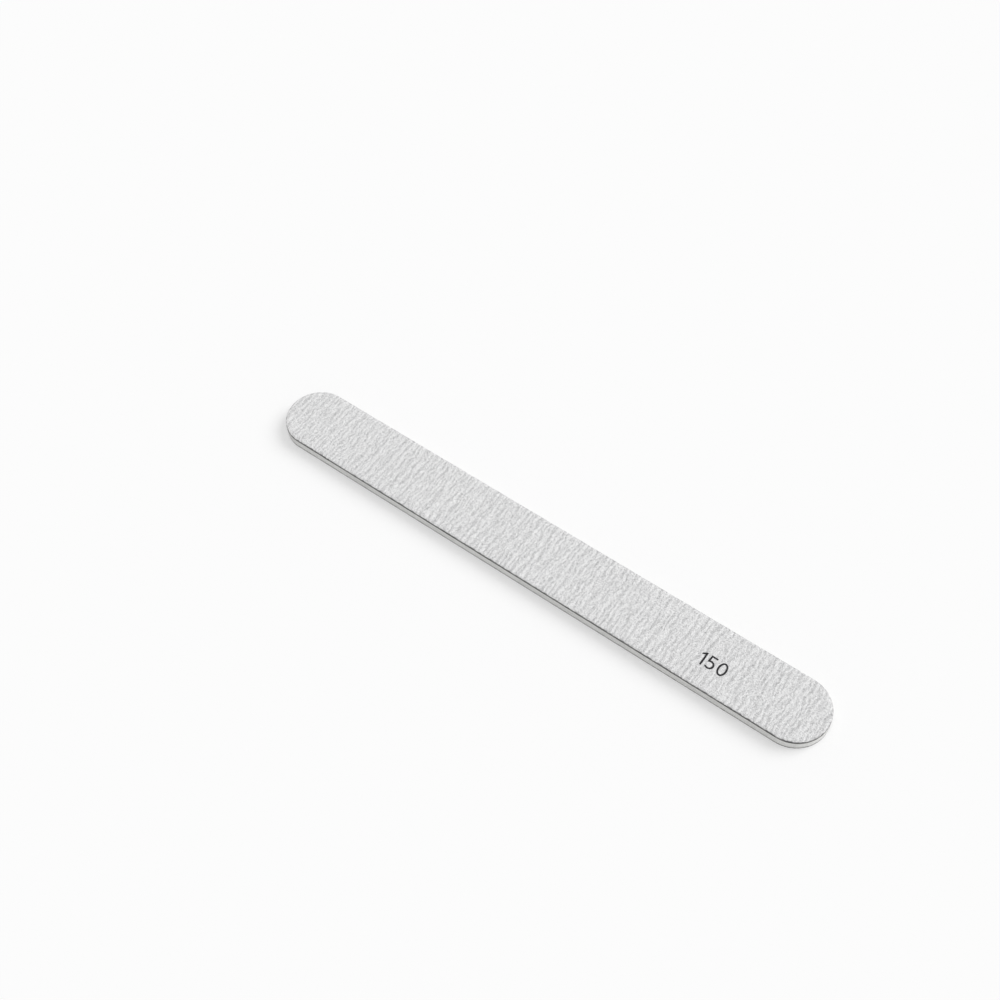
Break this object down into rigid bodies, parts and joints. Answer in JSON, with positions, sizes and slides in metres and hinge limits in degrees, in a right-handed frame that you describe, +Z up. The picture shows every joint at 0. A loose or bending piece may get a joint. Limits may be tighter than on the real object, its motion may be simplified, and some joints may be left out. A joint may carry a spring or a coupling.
{
  "type": "emery board",
  "caption": "Flat emery board with full-round ends: grit-coated paper over foam pads on a stiff plastic core, coarse on the top face and fine underneath, for shaping nails.",
  "frame": {"origin": "middle of the underside, the fine face, at the level of the surface that the board lies on", "axes": "+X along the length, +Y across the width, +Z up through the layers and out of the coarse face"},
  "size_m": [0.178, 0.019, 0.004],
  "materials": {
    "coarse_grit": "rippled coat of bonded 150 grit, matte pale grey",
    "fine_grit": "rippled coat of bonded 180 grit, matte pale grey",
    "backing_paper": "dark grey abrasive backing paper, cut edge showing",
    "glue_film": "thin satin adhesive film",
    "foam": "white closed-cell foam, matte",
    "core_plastic": "stiff white polystyrene strip, satin"
  },
  "bodies": {
    "root": {"coarse_grit_coat": "coarse_grit", "coarse_backing_paper": "backing_paper", "coarse_sheet_glue": "glue_film", "upper_foam_pad": "foam", "upper_core_glue": "glue_film", "core_strip": "core_plastic", "lower_core_glue": "glue_film", "lower_foam_pad": "foam", "fine_sheet_glue": "glue_film", "fine_backing_paper": "backing_paper", "fine_grit_coat": "fine_grit"}
  },
  "joints": []
}
